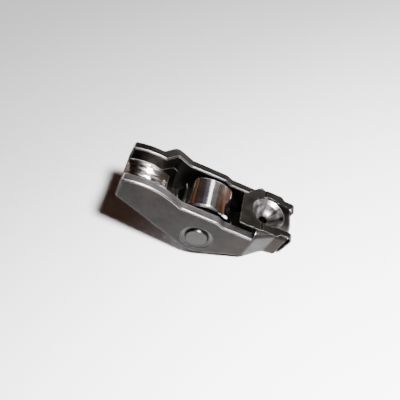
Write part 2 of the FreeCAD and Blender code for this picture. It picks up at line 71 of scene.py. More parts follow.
# Places on the lever, in its own axes from the middle of the axle
BALL_CENTRE = Vector((16.2, 0, 11.15)) * MM
PAD_AXIS = Vector((-19.8, 0, -6.35)) * MM
PAD_RADIUS = 14 * MM
PAD_MIDDLE = -1.95 * MM
PAD_HALF = 4.74 * MM
ACROSS_BORE = (1, 1, 0)
ACROSS_PAD = (1, 0, 1)
ACROSS_AXLE = (1, 0, 1)

# Where each finish begins and where it is full
SEAT_FADE = (4.6 * MM, 4.25 * MM)
MOUTH_FADE = (5.1 * MM, 4.8 * MM)
MOUTH_RISE = (9.0 * MM, 9.6 * MM)
# The oil hole, painted dark as shade
HOLE_FADE = (1.5 * MM, 1.35 * MM)
HOLE_SINK = (7.2 * MM, 7.0 * MM)
PAD_DEPTH_FADE = (0.3 * MM, 0.2 * MM)
PAD_END_FADE = (-13.1 * MM, -13.5 * MM)
PAD_SIDE_FADE = (PAD_HALF, PAD_HALF - 0.04 * MM)
# Where the pad's painted warm reflection begins and where it is full
PAD_REFLECTION_FADE = (-20.2 * MM, -23.6 * MM)
# Masks for the painted light and shade on the lever: the walls' top faces, their inner faces and the web facing
# the roller
NEAR_WALL_FADE = (0.0, -6.0 * MM)
INNER_WALL_FADE = (-0.6 * MM, -1.6 * MM)
SOCKET_WEB_FADE = (0.0, 5.0 * MM)
TOP_TURN = (0.6, 0.95)
WEB_TURN = (0.5, 0.8)

# Where the lever's edges are painted bright, as wear and as painted highlights, by the way they face, and how much
# of it shows
RISEN_TURN = (0.1, 0.55)
RISEN_WEAR_AND_HIGHLIGHT = 0.85
FORWARD_TURN = (0.1, -0.25)
BACKWARD_WEAR_AND_HIGHLIGHT = 0.1
NEAR_TURN = (-0.35, -0.8)
NEAR_WEAR_AND_HIGHLIGHT = 0.13

# Textures: grains to the metre, levels of detail and strength of the finer levels
BLAST_GRAIN = (3600, 3, 0.7)
BLAST_CLOUD = (260, 5, 0.6)
BLAST_BLOTCH = (70, 3, 0.5)
GRINDING_LINES = (6500, 2, 0.5)
GRINDING_STRETCH = (0.03, 1, 0.03)
SEAT_BANDS = (2.1, 4, 0.6)
SEAT_CLIMB = 60
TURNED_CLOUD = (400, 4, 0.5)
TURNED_DETAIL = (5, 0.7)
CLIP_CLOUD = (350, 5, 0.6)
CLIP_SCUFF = (900, 3, 0.5)
TABLE_CLOUD = (40, 4, 0.5)

# How the textures are spread over their colours
GRAIN_SHARE = 1.4
TONE_SPREAD = (0.85, 1.55)
BLOTCH_SPREAD = (0.5, 0.72)
BLOTCH_SHARE = 0.35
PAD_SPREAD = (0.35, 0.7)
PAD_REFLECTION_SHARE = 0.92
SEAT_SPREAD = (0.4, 0.6)
LINE_SPREAD = (0.3, 0.7)
CLOUD_SHARE = 0.5
TURNED_SPREAD = (0.4, 1.1)
CLIP_SPREAD = (0.4, 0.75)
SCUFF_SPREAD = (0.4, 0.62)
SCUFF_SHARES = (0.08, 0.8)
ANY_CLOUD = (0.2, 0.8)

# Colours that a user needn't change; a pair is the darker and the lighter tone
BLOTCH_BROWN = (0.022, 0.017, 0.013, 1)
# Top faces of the walls: painted shade on the far wall, painted light on the near wall
FAR_TOP_PAINTED_SHADE = ((0.004, 0.0036, 0.003, 1), (0.01, 0.0092, 0.008, 1))
NEAR_TOP_PAINTED_LIGHT = ((0.045, 0.044, 0.0435, 1), (0.1, 0.097, 0.096, 1))
# Painted shade on the walls' inner faces and on the web facing the roller
INNER_PAINTED_SHADE = (0.005, 0.0044, 0.0036, 1)
# Bright steel of the lever's edges: wear and painted highlight
WORN_AND_HIGHLIGHT_STEEL = (0.36, 0.355, 0.35, 1)
PAD_DULL = (0.44, 0.41, 0.38, 1)
# Painted dark warm reflection at the pad's free end
PAD_PAINTED_REFLECTION = (0.05, 0.02, 0.009, 1)
SEAT_TONES = ((0.03, 0.024, 0.022, 1), (0.17, 0.166, 0.17, 1))
# Painted shade in the oil hole
HOLE_PAINTED_SHADE = (0.006, 0.005, 0.005, 1)
# Painted shade in the creases of the staking rings
GROOVE_PAINTED_SHADE = (0.004, 0.0035, 0.003, 1)
WASHER_GREY = (0.3, 0.3, 0.29, 1)
CLIP_BROWN = (0.021, 0.019, 0.0145, 1)
# Bright steel of the clip's edges: scuffs and painted glints
CLIP_WORN_AND_GLINT = (0.3, 0.28, 0.25, 1)
# Painted shadow: the table's colour under the part
TABLE_PAINTED_SHADOW = (0.01, 0.009, 0.008, 1)

# Shares of a colour that make its darker or lighter tone
BLAST_DARK = 0.4
BLAST_LIGHT = 1.6
TURNED_DARK = 0.7
# Share of the table's colour at the back, for its painted light falloff
TABLE_FALLOFF_DIMMING = 0.6

# Rounding that the light sees on the pieces' sharp edges
LEVER_EDGE = 0.38 * MM
TURNED_EDGE = 0.12 * MM
CLIP_EDGE = 0.15 * MM
EDGE_TURN = (0.9999, 0.97)
EDGE_SAMPLES = 6

# Roughness of each finish: a pair is the smoothest and the roughest
BLAST_ROUGHNESS = (0.3, 0.58)
EDGE_POLISH = -0.35
PAD_ROUGHNESS = 0.16
SEAT_ROUGHER = 0.17
CLIP_ROUGHNESS = (0.28, 0.46)
TABLE_ROUGHNESS = 0.8
TABLE_GLOSS = 0.03

# Turned and ground steels: roughness, lines to the metre across them and the lines' strength
ROLLER_FINISH = (0.13, 6000, 0.08)
NEEDLE_FINISH = (0.12, 5000, 0.05)
AXLE_FINISH = (0.3, 9000, 0.35)
WASHER_FINISH = (0.3, 7000, 0.2)
TURNED_SMOOTHER = 0.8
TURNED_ROUGHER = 1.3

# Relief: strength and depth
BLAST_RELIEF = (0.28, 0.03 * MM)
PIT_RELIEF = (0.25, 0.12 * MM)
CLIP_RELIEF = (0.15, 0.05 * MM)
TURNED_DEPTH = 0.01 * MM

# How far the grinding lines lean the pad's shading sideways, and all of it along the lever
LINE_LEAN = 0.75
PAD_LEAN = -0.075

# Staking rings on the axle's end, painted dark as the shade in their creases: radius and half width
STAKING_RINGS = ((4.62 * MM, 0.22 * MM), (3.3 * MM, 0.2 * MM))

# The roller's outline: how its corners are eased, its ends welded and its faces shaded
ROLLER_EASE = 0.12 * MM
EASE_STEPS = 4
EASE_LIMIT = 2.1
WELD_REACH = 1e-7
SMOOTH_BELOW = math.radians(35)

# The table: how far it reaches, where its tone is painted darker towards the back as a light falloff, where a
# painted shadow lies under the part, and how far off it starts to glow and glows in full
TABLE_MIDDLE = (0, 0, 0)
TABLE_HALF = 1.2
ACROSS_TABLE = (1, 1, 0)
TABLE_PAINTED_FALLOFF = 0.11
TABLE_WAVER = 0.02
PAINTED_SHADOW_MIDDLE = (9.5 * MM, 5.0 * MM, 0)
PAINTED_SHADOW_FADE = (9.5 * MM, 5.5 * MM)
FAR_TABLE = (0.13, 0.45)
FAR_GLOW = 0.5
GLOW_WHITE = (1.0, 0.99, 1.0, 1)

# The air round the part, and the backdrop that only the camera sees
AIR_COLOUR = (0.6, 0.15, 0.01, 1)
AIR_STRENGTH = 0.05
BACKDROP_GREY = (0.5, 0.495, 0.5, 1)

# What the lamps point at and their whites, and the camera's width in mm and nearest distance
LAMP_AIM = (0, 0, 0.01)
KEY_WHITE = (1.0, 0.98, 0.98)
WARM_WHITE = (1.0, 0.98, 0.95)
COOL_WHITE = (0.95, 0.93, 1.0)
SENSOR_WIDTH = 36
NEAREST_SEEN = 0.001

# Lamps that only the metal mirrors: name, place, size, power and colour
METAL_LAMPS = (
    ("front_fill", (0.055, -0.17, 0.18), (0.09, 0.09), 0.02, COOL_WHITE),
    ("back_fill", (0, 0.6, 0.16), (0.8, 0.22), 3.0, WARM_WHITE),
    ("rear_lamp_left", (-0.25, 0.3, 0.022), (0.16, 0.03), 2.5, WARM_WHITE),
    ("rear_lamp_right", (0.15, 0.3, 0.022), (0.16, 0.03), 0.6, WARM_WHITE),
)

# How much the way to a strip leans to the back, and how long a strip is
STRIP_LEAN = 0.659
STRIP_LENGTH = 0.12

# Strips of light that the roller mirrors: name, turn about the axle's line from upright
# towards the socket end and width, in degrees, and brightness of red, green and blue
STRIPS = (
    ("grey_strip_left", -40, 12, (0.04, 0.036, 0.034)),
    ("dull_strip", -29, 10, (0.09, 0.05, 0.03)),
    ("orange_strip", -20, 5, (0.3, 0.15, 0.06)),
    ("dark_strip", -4, 20, (0.035, 0.033, 0.045)),
    ("blue_strip", 14, 14, (0.11, 0.11, 0.14)),
    ("white_strip", 27.5, 8, (8.0, 8.0, 8.2)),
    ("grey_strip", 42, 18, (0.25, 0.245, 0.235)),
    ("brown_strip", 60, 16, (0.1, 0.06, 0.045)),
    ("rust_strip", 82, 26, (0.2, 0.055, 0.012)),
)

# Low cards behind the part that the roller mirrors: name, two ends, height and colour
CARDS = (
    ("rust_card", (0.065, 0.01), (0.01, 0.06), 0.02, (0.2, 0.055, 0.012, 1)),
    ("dark_card", (0.005, 0.034), (-0.05, 0.016), 0.012, (0.006, 0.004, 0.003, 1)),
)

# Sockets of the mixing node: first input, second input and output
MIX_SOCKETS = {"FLOAT": (2, 3, 0), "VECTOR": (4, 5, 1), "RGBA": (6, 7, 2)}


class RollerSizes(bpy.types.PropertyGroup):
    """Sizes of the cam roller."""

    radius: FloatProperty(
        name="Roller radius", description="Rim of the cam roller",
        default=(ROLLER_HIGH.z - ROLLER_LOW.z) / 2, min=0, unit="LENGTH")
    half_width: FloatProperty(
        name="Roller half width", description="Middle of the roller to its side face",
        default=ROLLER_HIGH.y, min=0, unit="LENGTH")
    bore: FloatProperty(
        name="Roller bore", description="Radius of the race that the needles roll in",
        default=5.83 * MM, min=0, unit="LENGTH")
    edge: FloatProperty(
        name="Roller chamfer", description="Chamfer between the rim and the side faces",
        default=0.6 * MM, min=0, unit="LENGTH")
    turns: IntProperty(
        name="Steps round", description="Number of facets round the roller",
        default=160, min=24, max=360)


class SteelColours(bpy.types.PropertyGroup):
    """Colours of the steels."""

    lever: FloatVectorProperty(
        name="Lever", description="Tumbled and blasted steel of the lever",
        subtype="COLOR", size=4, min=0, max=1, default=(0.0108, 0.0099, 0.0094, 1))
    ground: FloatVectorProperty(
        name="Valve pad", description="Ground steel of the valve pad",
        subtype="COLOR", size=4, min=0, max=1, default=(0.66, 0.64, 0.62, 1))
    roller: FloatVectorProperty(
        name="Roller", description="Polished bearing steel",
        subtype="COLOR", size=4, min=0, max=1, default=(0.6, 0.6, 0.6, 1))
    axle: FloatVectorProperty(
        name="Axle", description="Turned end of the axle",
        subtype="COLOR", size=4, min=0, max=1, default=(0.035, 0.0345, 0.034, 1))
    clip: FloatVectorProperty(
        name="Clip", description="Heat-darkened spring steel",
        subtype="COLOR", size=4, min=0, max=1, default=(0.014, 0.0135, 0.011, 1))


class StudioSetup(bpy.types.PropertyGroup):
    """Camera, table and light."""

    camera_place: FloatVectorProperty(
        name="Camera place", description="Where the camera stands",
        subtype="TRANSLATION", unit="LENGTH", size=3, default=(0.03595, -0.11248, 0.13828))
    camera_turn: FloatVectorProperty(
        name="Camera turn", description="How the camera is turned",
        subtype="EULER", size=3, default=tuple(map(math.radians, (43.27, 7.25, 10.05))))
    lens: FloatProperty(
        name="Lens", description="Focal length on a sensor 36 mm wide",
        default=54.0, min=10, max=300)
    table: FloatVectorProperty(
        name="Table", description="Pale matt table top",
        subtype="COLOR", size=4, min=0, max=1, default=(0.84, 0.83, 0.85, 1))
    key_place: FloatVectorProperty(
        name="Key lamp", description="Soft box at the front right",
        subtype="TRANSLATION", unit="LENGTH", size=3, default=(0.0965, -0.106, 0.194))
    key_size: FloatProperty(
        name="Key size", description="Side of the soft box",
        default=0.022, min=0.001, unit="LENGTH")
    key_power: FloatProperty(
        name="Key power", description="Light of the soft box",
        default=5.0, min=0, unit="POWER")
    card_reach: FloatProperty(
        name="Strip distance", description="From the roller to the strips of light behind it",
        default=0.17, min=0.1, unit="LENGTH")


def shaded(colour, share):
    """Give a darker or lighter tone of a colour."""
    return [min(1, value * share) for value in colour[:3]] + [1]


class Recipe:
    """A node recipe for one finish, on the surfaces' own resting coordinates."""

    def __init__(self, name):
        self.material = bpy.data.materials.new(name)
        self.material.use_nodes = True
        self.tree = self.material.node_tree
        self.surface = self.tree.nodes["Principled BSDF"]
        self.place = self.node("ShaderNodeTexCoord").outputs["Object"]

    def node(self, kind, **settings):
        """Add a node with its settings."""
        made = self.tree.nodes.new(kind)
        for name, value in settings.items():
            setattr(made, name, value)
        return made

    def join(self, source, target):
        """Link an output to an input, or set a plain value on it."""
        if isinstance(source, bpy.types.NodeSocket):
            self.tree.links.new(source, target)
        else:
            target.default_value = source

    def fill(self, made, *sources):
        """Join sources to the first inputs of a node."""
        for source, socket in zip(sources, made.inputs):
            self.join(source, socket)
        return made

    def feed(self, made, **sources):
        """Join sources to the inputs of a node that have these names."""
        for name, source in sources.items():
            self.join(source, made.inputs[name])
        return made

    def set(self, name, value):
        """Join a value to an input of the surface."""
        self.join(value, self.surface.inputs[name])

    def reckon(self, operation, first, second=0.0, third=0.0):
        """Work out one number from others."""
        made = self.node("ShaderNodeMath", operation=operation)
        return self.fill(made, first, second, third).outputs[0]

    def times(self, first, *others):
        """Multiply numbers."""
        for other in others:
            first = self.reckon("MULTIPLY", first, other)
        return first

    def either(self, first, second):
        """Take the larger of two shares."""
        return self.reckon("MAXIMUM", first, second)

    def vector(self, operation, first, second=(0, 0, 0)):
        """Work out one vector from others."""
        made = self.node("ShaderNodeVectorMath", operation=operation)
        return self.fill(made, first, second).outputs["Vector"]

    def dot(self, first, second):
        """Give the part of one direction that runs along another."""
        made = self.node("ShaderNodeVectorMath", operation="DOT_PRODUCT")
        return self.fill(made, first, second).outputs["Value"]

    def combine(self, x, y, z=0.0):
        """Join three numbers into a vector."""
        return self.fill(self.node("ShaderNodeCombineXYZ"), x, y, z).outputs[0]

    def split(self, vector):
        """Give the three parts of a vector."""
        return self.fill(self.node("ShaderNodeSeparateXYZ"), vector).outputs

    def off(self, value, middle):
        """Say how far a number is from a middle."""
        return self.reckon("ABSOLUTE", self.reckon("SUBTRACT", value, middle))

    def distance(self, vector, spot, across=(1, 1, 1)):
        """Give the distance from a spot, leaving out the axes whose share is 0."""
        kept = self.vector("MULTIPLY", self.vector("SUBTRACT", vector, spot), across)
        length = self.node("ShaderNodeVectorMath", operation="LENGTH")
        return self.fill(length, kept).outputs["Value"]

    def blend(self, share, first, second, kind="RGBA"):
        """Mix two colours, numbers or vectors."""
        made = self.node("ShaderNodeMix", data_type=kind)
        start, end, result = MIX_SOCKETS[kind]
        self.join(share, made.inputs[0])
        self.join(first, made.inputs[start])
        self.join(second, made.inputs[end])
        return made.outputs[result]

    def between(self, value, low, high, start=0.0, end=1.0):
        """Spread a range of a value over another range, softly and clamped."""
        made = self.node("ShaderNodeMapRange", interpolation_type="SMOOTHSTEP")
        return self.fill(made, value, low, high, start, end).outputs[0]

    def noise(self, texture, place=None, stretch=None):
        """Give the noise value of a texture."""
        scale, detail, roughness = texture
        spot = place or self.place
        if stretch:
            spot = self.feed(self.node("ShaderNodeMapping"), Vector=spot, Scale=stretch).outputs[0]
        made = self.node("ShaderNodeTexNoise")
        self.feed(made, Vector=spot, Scale=scale, Detail=detail, Roughness=roughness)
        return made.outputs["Fac"]

    def lever_axes(self):
        """Turn the resting place back into the lever's own axes, from the middle of the axle."""
        turned = self.node("ShaderNodeVectorRotate", rotation_type="Y_AXIS")
        self.feed(turned, Vector=self.place, Center=AXLE, Angle=-LEAN)
        return self.vector("SUBTRACT", turned.outputs[0], AXLE)

    def plain_normal(self):
        """Give the surface's own normal."""
        return self.node("ShaderNodeNewGeometry").outputs["Normal"]

    def relief(self, height, strength, depth, normal):
        """Turn a height into a bumpy normal."""
        made = self.node("ShaderNodeBump")
        self.feed(made, Strength=strength, Distance=depth, Height=height, Normal=normal)
        return made.outputs[0]

    def soft_edges(self, radius):
        """Give normals that round the sharp edges."""
        made = self.node("ShaderNodeBevel", samples=EDGE_SAMPLES)
        return self.feed(made, Radius=radius).outputs[0]

    def edge_mask(self, soft_normal):
        """Mark the edges that the soft normals round."""
        return self.between(self.dot(soft_normal, self.plain_normal()), *EDGE_TURN)

    def metal(self, colour, roughness, normal):
        """Make the surface a bare metal of this colour, roughness and relief."""
        self.set("Base Color", colour)
        self.set("Metallic", 1.0)
        self.set("Roughness", roughness)
        self.set("Normal", normal)
        return self.material


def seat_mask(recipe, spot):
    """Mark the ball seat and the chamfer round its mouth."""
    cup = recipe.between(recipe.distance(spot, BALL_CENTRE), *SEAT_FADE)
    round_bore = recipe.between(recipe.distance(spot, BALL_CENTRE, ACROSS_BORE), *MOUTH_FADE)
    high_up = recipe.between(recipe.split(spot)[2], *MOUTH_RISE)
    return recipe.either(cup, recipe.times(round_bore, high_up))


def pad_mask(recipe, spot):
    """Mark the ground arc of the valve pad between its two rails."""
    along, across = recipe.split(spot)[:2]
    off_arc = recipe.off(recipe.distance(spot, PAD_AXIS, ACROSS_PAD), PAD_RADIUS)
    on_arc = recipe.between(off_arc, *PAD_DEPTH_FADE)
    before_lip = recipe.between(along, *PAD_END_FADE)
    between_rails = recipe.between(recipe.off(across, PAD_MIDDLE), *PAD_SIDE_FADE)
    return recipe.times(on_arc, before_lip, between_rails)


def hole_mask(recipe, spot):
    """Mark the oil hole at the bottom of the seat, which is painted dark as shade."""
    near_line = recipe.between(recipe.distance(spot, BALL_CENTRE, ACROSS_BORE), *HOLE_FADE)
    return recipe.times(near_line, recipe.between(recipe.split(spot)[2], *HOLE_SINK))


def wear_and_highlight_share(recipe, soft_normal, edges):
    """Wear the edges bright and paint highlights on them, most along the front of the top faces and a little round
    the near face.
    """
    facing = recipe.split(soft_normal)[1]
    risen = recipe.between(recipe.dot(soft_normal, SOCKET_AXIS), *RISEN_TURN, end=RISEN_WEAR_AND_HIGHLIGHT)
    forward = recipe.between(facing, *FORWARD_TURN, start=BACKWARD_WEAR_AND_HIGHLIGHT)
    near_face = recipe.between(facing, *NEAR_TURN, end=NEAR_WEAR_AND_HIGHLIGHT)
    return recipe.either(recipe.times(edges, risen, forward), recipe.times(edges, near_face))


def blasted_colour(recipe, spot, soft_normal, edges, tone, lever):
    """Colour the blasted steel, with painted light and shade: top faces painted lighter on the near wall and
    darker on the far one, inner faces painted near-black as shade, and edges worn and painted bright as
    highlights.
    """
    along, across = recipe.split(spot)[:2]
    normal = recipe.plain_normal()
    blasted = recipe.blend(tone, shaded(lever, BLAST_DARK), shaded(lever, BLAST_LIGHT))
    blotch = recipe.between(recipe.noise(BLAST_BLOTCH), *BLOTCH_SPREAD, end=BLOTCH_SHARE)
    blasted = recipe.blend(blotch, blasted, BLOTCH_BROWN)
    # Painted light and shade: top faces lighter on the near wall, darker on the far wall
    near_wall = recipe.between(across, *NEAR_WALL_FADE)
    painted_top_tones = recipe.blend(near_wall, recipe.blend(tone, *FAR_TOP_PAINTED_SHADE), recipe.blend(tone, *NEAR_TOP_PAINTED_LIGHT))
    upright = recipe.between(recipe.dot(normal, SOCKET_AXIS), *TOP_TURN)
    blasted = recipe.blend(upright, blasted, painted_top_tones)
    # Painted shade: the walls' inner faces and the web facing the roller are painted near-black
    inward = recipe.times(across, recipe.split(normal)[1])
    toward_roller = recipe.between(recipe.dot(normal, TOWARD_PAD), *WEB_TURN)
    web = recipe.times(toward_roller, recipe.between(along, *SOCKET_WEB_FADE))
    painted_inside_shade = recipe.either(recipe.between(inward, *INNER_WALL_FADE), web)
    blasted = recipe.blend(painted_inside_shade, blasted, INNER_PAINTED_SHADE)
    return recipe.blend(wear_and_highlight_share(recipe, soft_normal, edges), blasted, WORN_AND_HIGHLIGHT_STEEL)


def pad_colour(recipe, spot, cloud, ground):
    """Colour the ground pad, with a dark warm reflection painted towards its free end."""
    steel = recipe.blend(recipe.between(cloud, *PAD_SPREAD), ground, PAD_DULL)
    # Painted reflection: dark warm brown towards the pad's free end
    painted_reflection = recipe.between(recipe.split(spot)[0], *PAD_REFLECTION_FADE, end=PAD_REFLECTION_SHARE)
    return recipe.blend(painted_reflection, steel, PAD_PAINTED_REFLECTION)


def seat_colour(recipe, spot):
    """Colour the seat in satin bands that climb from the oil hole to the mouth."""
    aside = recipe.split(recipe.vector("SUBTRACT", spot, BALL_CENTRE))
    turn = recipe.reckon("ARCTAN2", aside[1], aside[0])
    climb = recipe.times(recipe.distance(spot, BALL_CENTRE, ACROSS_BORE), SEAT_CLIMB)
    around = recipe.combine(recipe.reckon("SINE", turn), recipe.reckon("COSINE", turn), climb)
    bands = recipe.noise(SEAT_BANDS, around)
    return recipe.blend(recipe.between(bands, *SEAT_SPREAD), *SEAT_TONES)


def brushed_normal(recipe, spot, pad):
    """Lean the pad's normal from side to side, as its lengthwise grinding lines do."""
    lines = recipe.noise(GRINDING_LINES, spot, GRINDING_STRETCH)
    sideways = recipe.between(lines, *LINE_SPREAD, start=-LINE_LEAN, end=LINE_LEAN)
    lean = recipe.combine(recipe.times(pad, PAD_LEAN), recipe.times(sideways, pad))
    return recipe.vector("NORMALIZE", recipe.vector("ADD", recipe.plain_normal(), lean))


def tumbled_steel(colours):
    """Blasted lever steel, with a ground valve pad and a satin ball seat."""
    recipe = Recipe("tumbled_steel")
    spot = recipe.lever_axes()
    seat = seat_mask(recipe, spot)
    pad = pad_mask(recipe, spot)
    bright = recipe.either(seat, pad)
    grain = recipe.noise(BLAST_GRAIN)
    cloud = recipe.noise(BLAST_CLOUD)
    tone = recipe.between(recipe.reckon("MULTIPLY_ADD", grain, GRAIN_SHARE, cloud), *TONE_SPREAD)
    soft_normal = recipe.soft_edges(LEVER_EDGE)
    edges = recipe.edge_mask(soft_normal)

    blasted = blasted_colour(recipe, spot, soft_normal, edges, tone, colours.lever)
    ground = pad_colour(recipe, spot, cloud, colours.ground)
    machined = recipe.blend(seat, ground, seat_colour(recipe, spot))
    steel = recipe.blend(bright, blasted, machined)
    # Painted shade in the oil hole
    colour = recipe.blend(hole_mask(recipe, spot), steel, HOLE_PAINTED_SHADE)

    dullness = recipe.reckon("MULTIPLY_ADD", edges, EDGE_POLISH, cloud)
    matt = recipe.between(dullness, 0.0, 1.0, *BLAST_ROUGHNESS)
    satin = recipe.reckon("MULTIPLY_ADD", seat, SEAT_ROUGHER, PAD_ROUGHNESS)
    roughness = recipe.blend(bright, matt, satin, "FLOAT")

    smooth = recipe.blend(bright, soft_normal, brushed_normal(recipe, spot, pad), "VECTOR")
    rough_share = recipe.reckon("SUBTRACT", 1.0, bright)
    grainy = recipe.relief(recipe.times(grain, rough_share), *BLAST_RELIEF, smooth)
    pitted = recipe.relief(recipe.times(cloud, rough_share), *PIT_RELIEF, grainy)
    return recipe.metal(colour, roughness, pitted)


def turned_steel(name, colour, finish, shaded_grooves=()):
    """Steel turned or ground round the axle, with lines that run round it, and with rings painted dark as shade
    where given.
    """
    rough, line_scale, line_strength = finish
    recipe = Recipe(name)
    from_axis = recipe.distance(recipe.place, AXLE, ACROSS_AXLE)
    profile = recipe.combine(from_axis, recipe.split(recipe.place)[1])
    lines = recipe.noise((line_scale, *TURNED_DETAIL), profile)
    cloud = recipe.noise(TURNED_CLOUD)
    mottle = recipe.reckon("MULTIPLY_ADD", cloud, CLOUD_SHARE, lines)
    steel = recipe.blend(
        recipe.between(mottle, *TURNED_SPREAD), shaded(colour, TURNED_DARK), list(colour))
    # Painted shade in the creases of the staking rings
    for radius, half in shaded_grooves:
        ring = recipe.between(recipe.off(from_axis, radius), half, half / 2)
        steel = recipe.blend(ring, steel, GROOVE_PAINTED_SHADE)
    gloss = recipe.between(cloud, *ANY_CLOUD, rough * TURNED_SMOOTHER, rough * TURNED_ROUGHER)
    lined = recipe.relief(lines, line_strength, TURNED_DEPTH, recipe.soft_edges(TURNED_EDGE))
    return recipe.metal(steel, gloss, lined)


def spring_steel(colours):
    """Thin spring steel, darkened by its hardening, bright where its edges are scuffed and where glints are
    painted on them.
    """
    recipe = Recipe("spring_steel")
    soft_normal = recipe.soft_edges(CLIP_EDGE)
    cloud = recipe.noise(CLIP_CLOUD)
    dark = recipe.blend(recipe.between(cloud, *CLIP_SPREAD), colours.clip, CLIP_BROWN)
    scuffs = recipe.between(recipe.noise(CLIP_SCUFF), *SCUFF_SPREAD, *SCUFF_SHARES)
    # Scuffed edges, partly painted glints
    scuffs_and_glints = recipe.times(recipe.edge_mask(soft_normal), scuffs)
    gloss = recipe.between(cloud, *ANY_CLOUD, *CLIP_ROUGHNESS)
    wavy = recipe.relief(cloud, *CLIP_RELIEF, soft_normal)
    return recipe.metal(recipe.blend(scuffs_and_glints, dark, CLIP_WORN_AND_GLINT), gloss, wavy)


def pale_table(colour):
    """Matt table top with a painted light falloff towards the back, a painted shadow under the part and a far
    glow.
    """
    recipe = Recipe("pale_table")
    x, y = recipe.split(recipe.place)[:2]
    to_front = recipe.reckon("SUBTRACT", x, y)
    wavy = recipe.reckon("MULTIPLY_ADD", recipe.noise(TABLE_CLOUD), TABLE_WAVER, to_front)
    # Painted light falloff: the table is painted darker towards the back left
    painted_falloff = recipe.between(wavy, -TABLE_PAINTED_FALLOFF, TABLE_PAINTED_FALLOFF)
    top = recipe.blend(painted_falloff, shaded(colour, TABLE_FALLOFF_DIMMING), list(colour))
    # Painted shadow under the part, laid on the table's colour
    under = recipe.between(recipe.distance(recipe.place, PAINTED_SHADOW_MIDDLE), *PAINTED_SHADOW_FADE)
    far_off = recipe.distance(recipe.place, TABLE_MIDDLE, ACROSS_TABLE)
    recipe.set("Base Color", recipe.blend(under, top, TABLE_PAINTED_SHADOW))
    recipe.set("Roughness", TABLE_ROUGHNESS)
    recipe.set("Specular IOR Level", TABLE_GLOSS)
    recipe.set("Emission Color", GLOW_WHITE)
    recipe.set("Emission Strength", recipe.between(far_off, *FAR_TABLE, end=FAR_GLOW))
    return recipe.material


def card_light(name, colour):
    """Plain glow of a card that the roller mirrors."""
    recipe = Recipe(name)
    recipe.set("Base Color", (0, 0, 0, 1))
    recipe.set("Emission Color", colour)
    recipe.set("Emission Strength", 1.0)
    return recipe.material


def dress(piece, material):
    """Give a piece one material."""
    piece.data.materials.clear()
    piece.data.materials.append(material)


def turned_piece(name, outline, turns, material, body, node):
    """Spin a closed outline of (along the axle, radius) about the axle."""
    mesh = bpy.data.meshes.new(name)
    work = bmesh.new()
    rings = []
    for step in range(turns):
        angle = 2 * math.pi * step / turns
        across, up = math.cos(angle), math.sin(angle)
        rings.append([
            work.verts.new(AXLE + Vector((radius * across, along, radius * up)))
            for along, radius in outline])
    for ring, after in zip(rings, rings[1:] + rings[:1]):
        for index in range(len(outline)):
            follow = (index + 1) % len(outline)
            work.faces.new([ring[index], ring[follow], after[follow], after[index]])
    bmesh.ops.remove_doubles(work, verts=work.verts, dist=WELD_REACH)
    bmesh.ops.recalc_face_normals(work, faces=work.faces)
    work.to_mesh(mesh)
    work.free()
    piece = bpy.data.objects.new(name, mesh)
    bpy.context.scene.collection.objects.link(piece)
    mesh.shade_smooth()
    mesh.set_sharp_from_angle(angle=SMOOTH_BELOW)
    dress(piece, material)
    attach(piece, body)
    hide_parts(node)


def eased(corners, ease):
    """Round each corner of a closed outline with a short curve."""
    outline = []
    for index, corner in enumerate(corners):
        spot = Vector(corner)
        before = Vector(corners[index - 1]) - spot
        after = Vector(corners[(index + 1) % len(corners)]) - spot
        reach = min(ease, before.length / EASE_LIMIT, after.length / EASE_LIMIT)
        first = spot + before.normalized() * reach
        last = spot + after.normalized() * reach
        for step in range(EASE_STEPS + 1):
            share = step / EASE_STEPS
            outline.append(first.lerp(spot, share).lerp(spot.lerp(last, share), share))
    return outline


class ROCKER_OT_lever(bpy.types.Operator):
    """Give the formed lever its tumbled steel."""

    bl_idname = "rocker.lever"
    bl_label = "Lever"

    def execute(self, context):
        dress(frame["nodes"]["lever_body"], tumbled_steel(context.scene.rocker_colours))
        return {"FINISHED"}


class ROCKER_OT_roller(bpy.types.Operator):
    """Turn the cam roller and polish it."""

    bl_idname = "rocker.roller"
    bl_label = "Cam roller"

    def execute(self, context):
        sizes = context.scene.rocker_roller
        land = sizes.half_width - sizes.edge
        shoulder = sizes.radius - sizes.edge
        outline = eased([
            (-sizes.half_width, sizes.bore),
            (sizes.half_width, sizes.bore),
            (sizes.half_width, shoulder),
            (land, sizes.radius),
            (-land, sizes.radius),
            (-sizes.half_width, shoulder),
        ], ROLLER_EASE)
        colour = context.scene.rocker_colours.roller
        steel = turned_steel("polished_roller", colour, ROLLER_FINISH)
        turned_piece(
            "ground_roller", outline, sizes.turns, steel, "roller", "cam_roller")
        return {"FINISHED"}


class ROCKER_OT_axle(bpy.types.Operator):
    """Finish the staked ends of the axle."""

    bl_idname = "rocker.axle"
    bl_label = "Axle"

    def execute(self, context):
        colour = context.scene.rocker_colours.axle
        steel = turned_steel("turned_axle", colour, AXLE_FINISH, STAKING_RINGS)
        dress(frame["nodes"]["roller_axle"], steel)
        return {"FINISHED"}


class ROCKER_OT_bearing(bpy.types.Operator):
    """Finish the needles and the thrust washers."""

    bl_idname = "rocker.bearing"
    bl_label = "Needles and washers"

    def execute(self, context):
        washer = turned_steel("ground_washer", WASHER_GREY, WASHER_FINISH)
        for name in WASHERS:
            dress(frame["nodes"][name], washer)
        colour = context.scene.rocker_colours.roller
        polished = turned_steel("polished_needle", colour, NEEDLE_FINISH)
        for name in NEEDLES:
            dress(frame["nodes"][name], polished)
        return {"FINISHED"}


class ROCKER_OT_clip(bpy.types.Operator):
    """Give the retaining clip its dark spring steel."""

    bl_idname = "rocker.clip"
    bl_label = "Retaining clip"

    def execute(self, context):
        dress(frame["nodes"]["retaining_clip"], spring_steel(context.scene.rocker_colours))
        return {"FINISHED"}


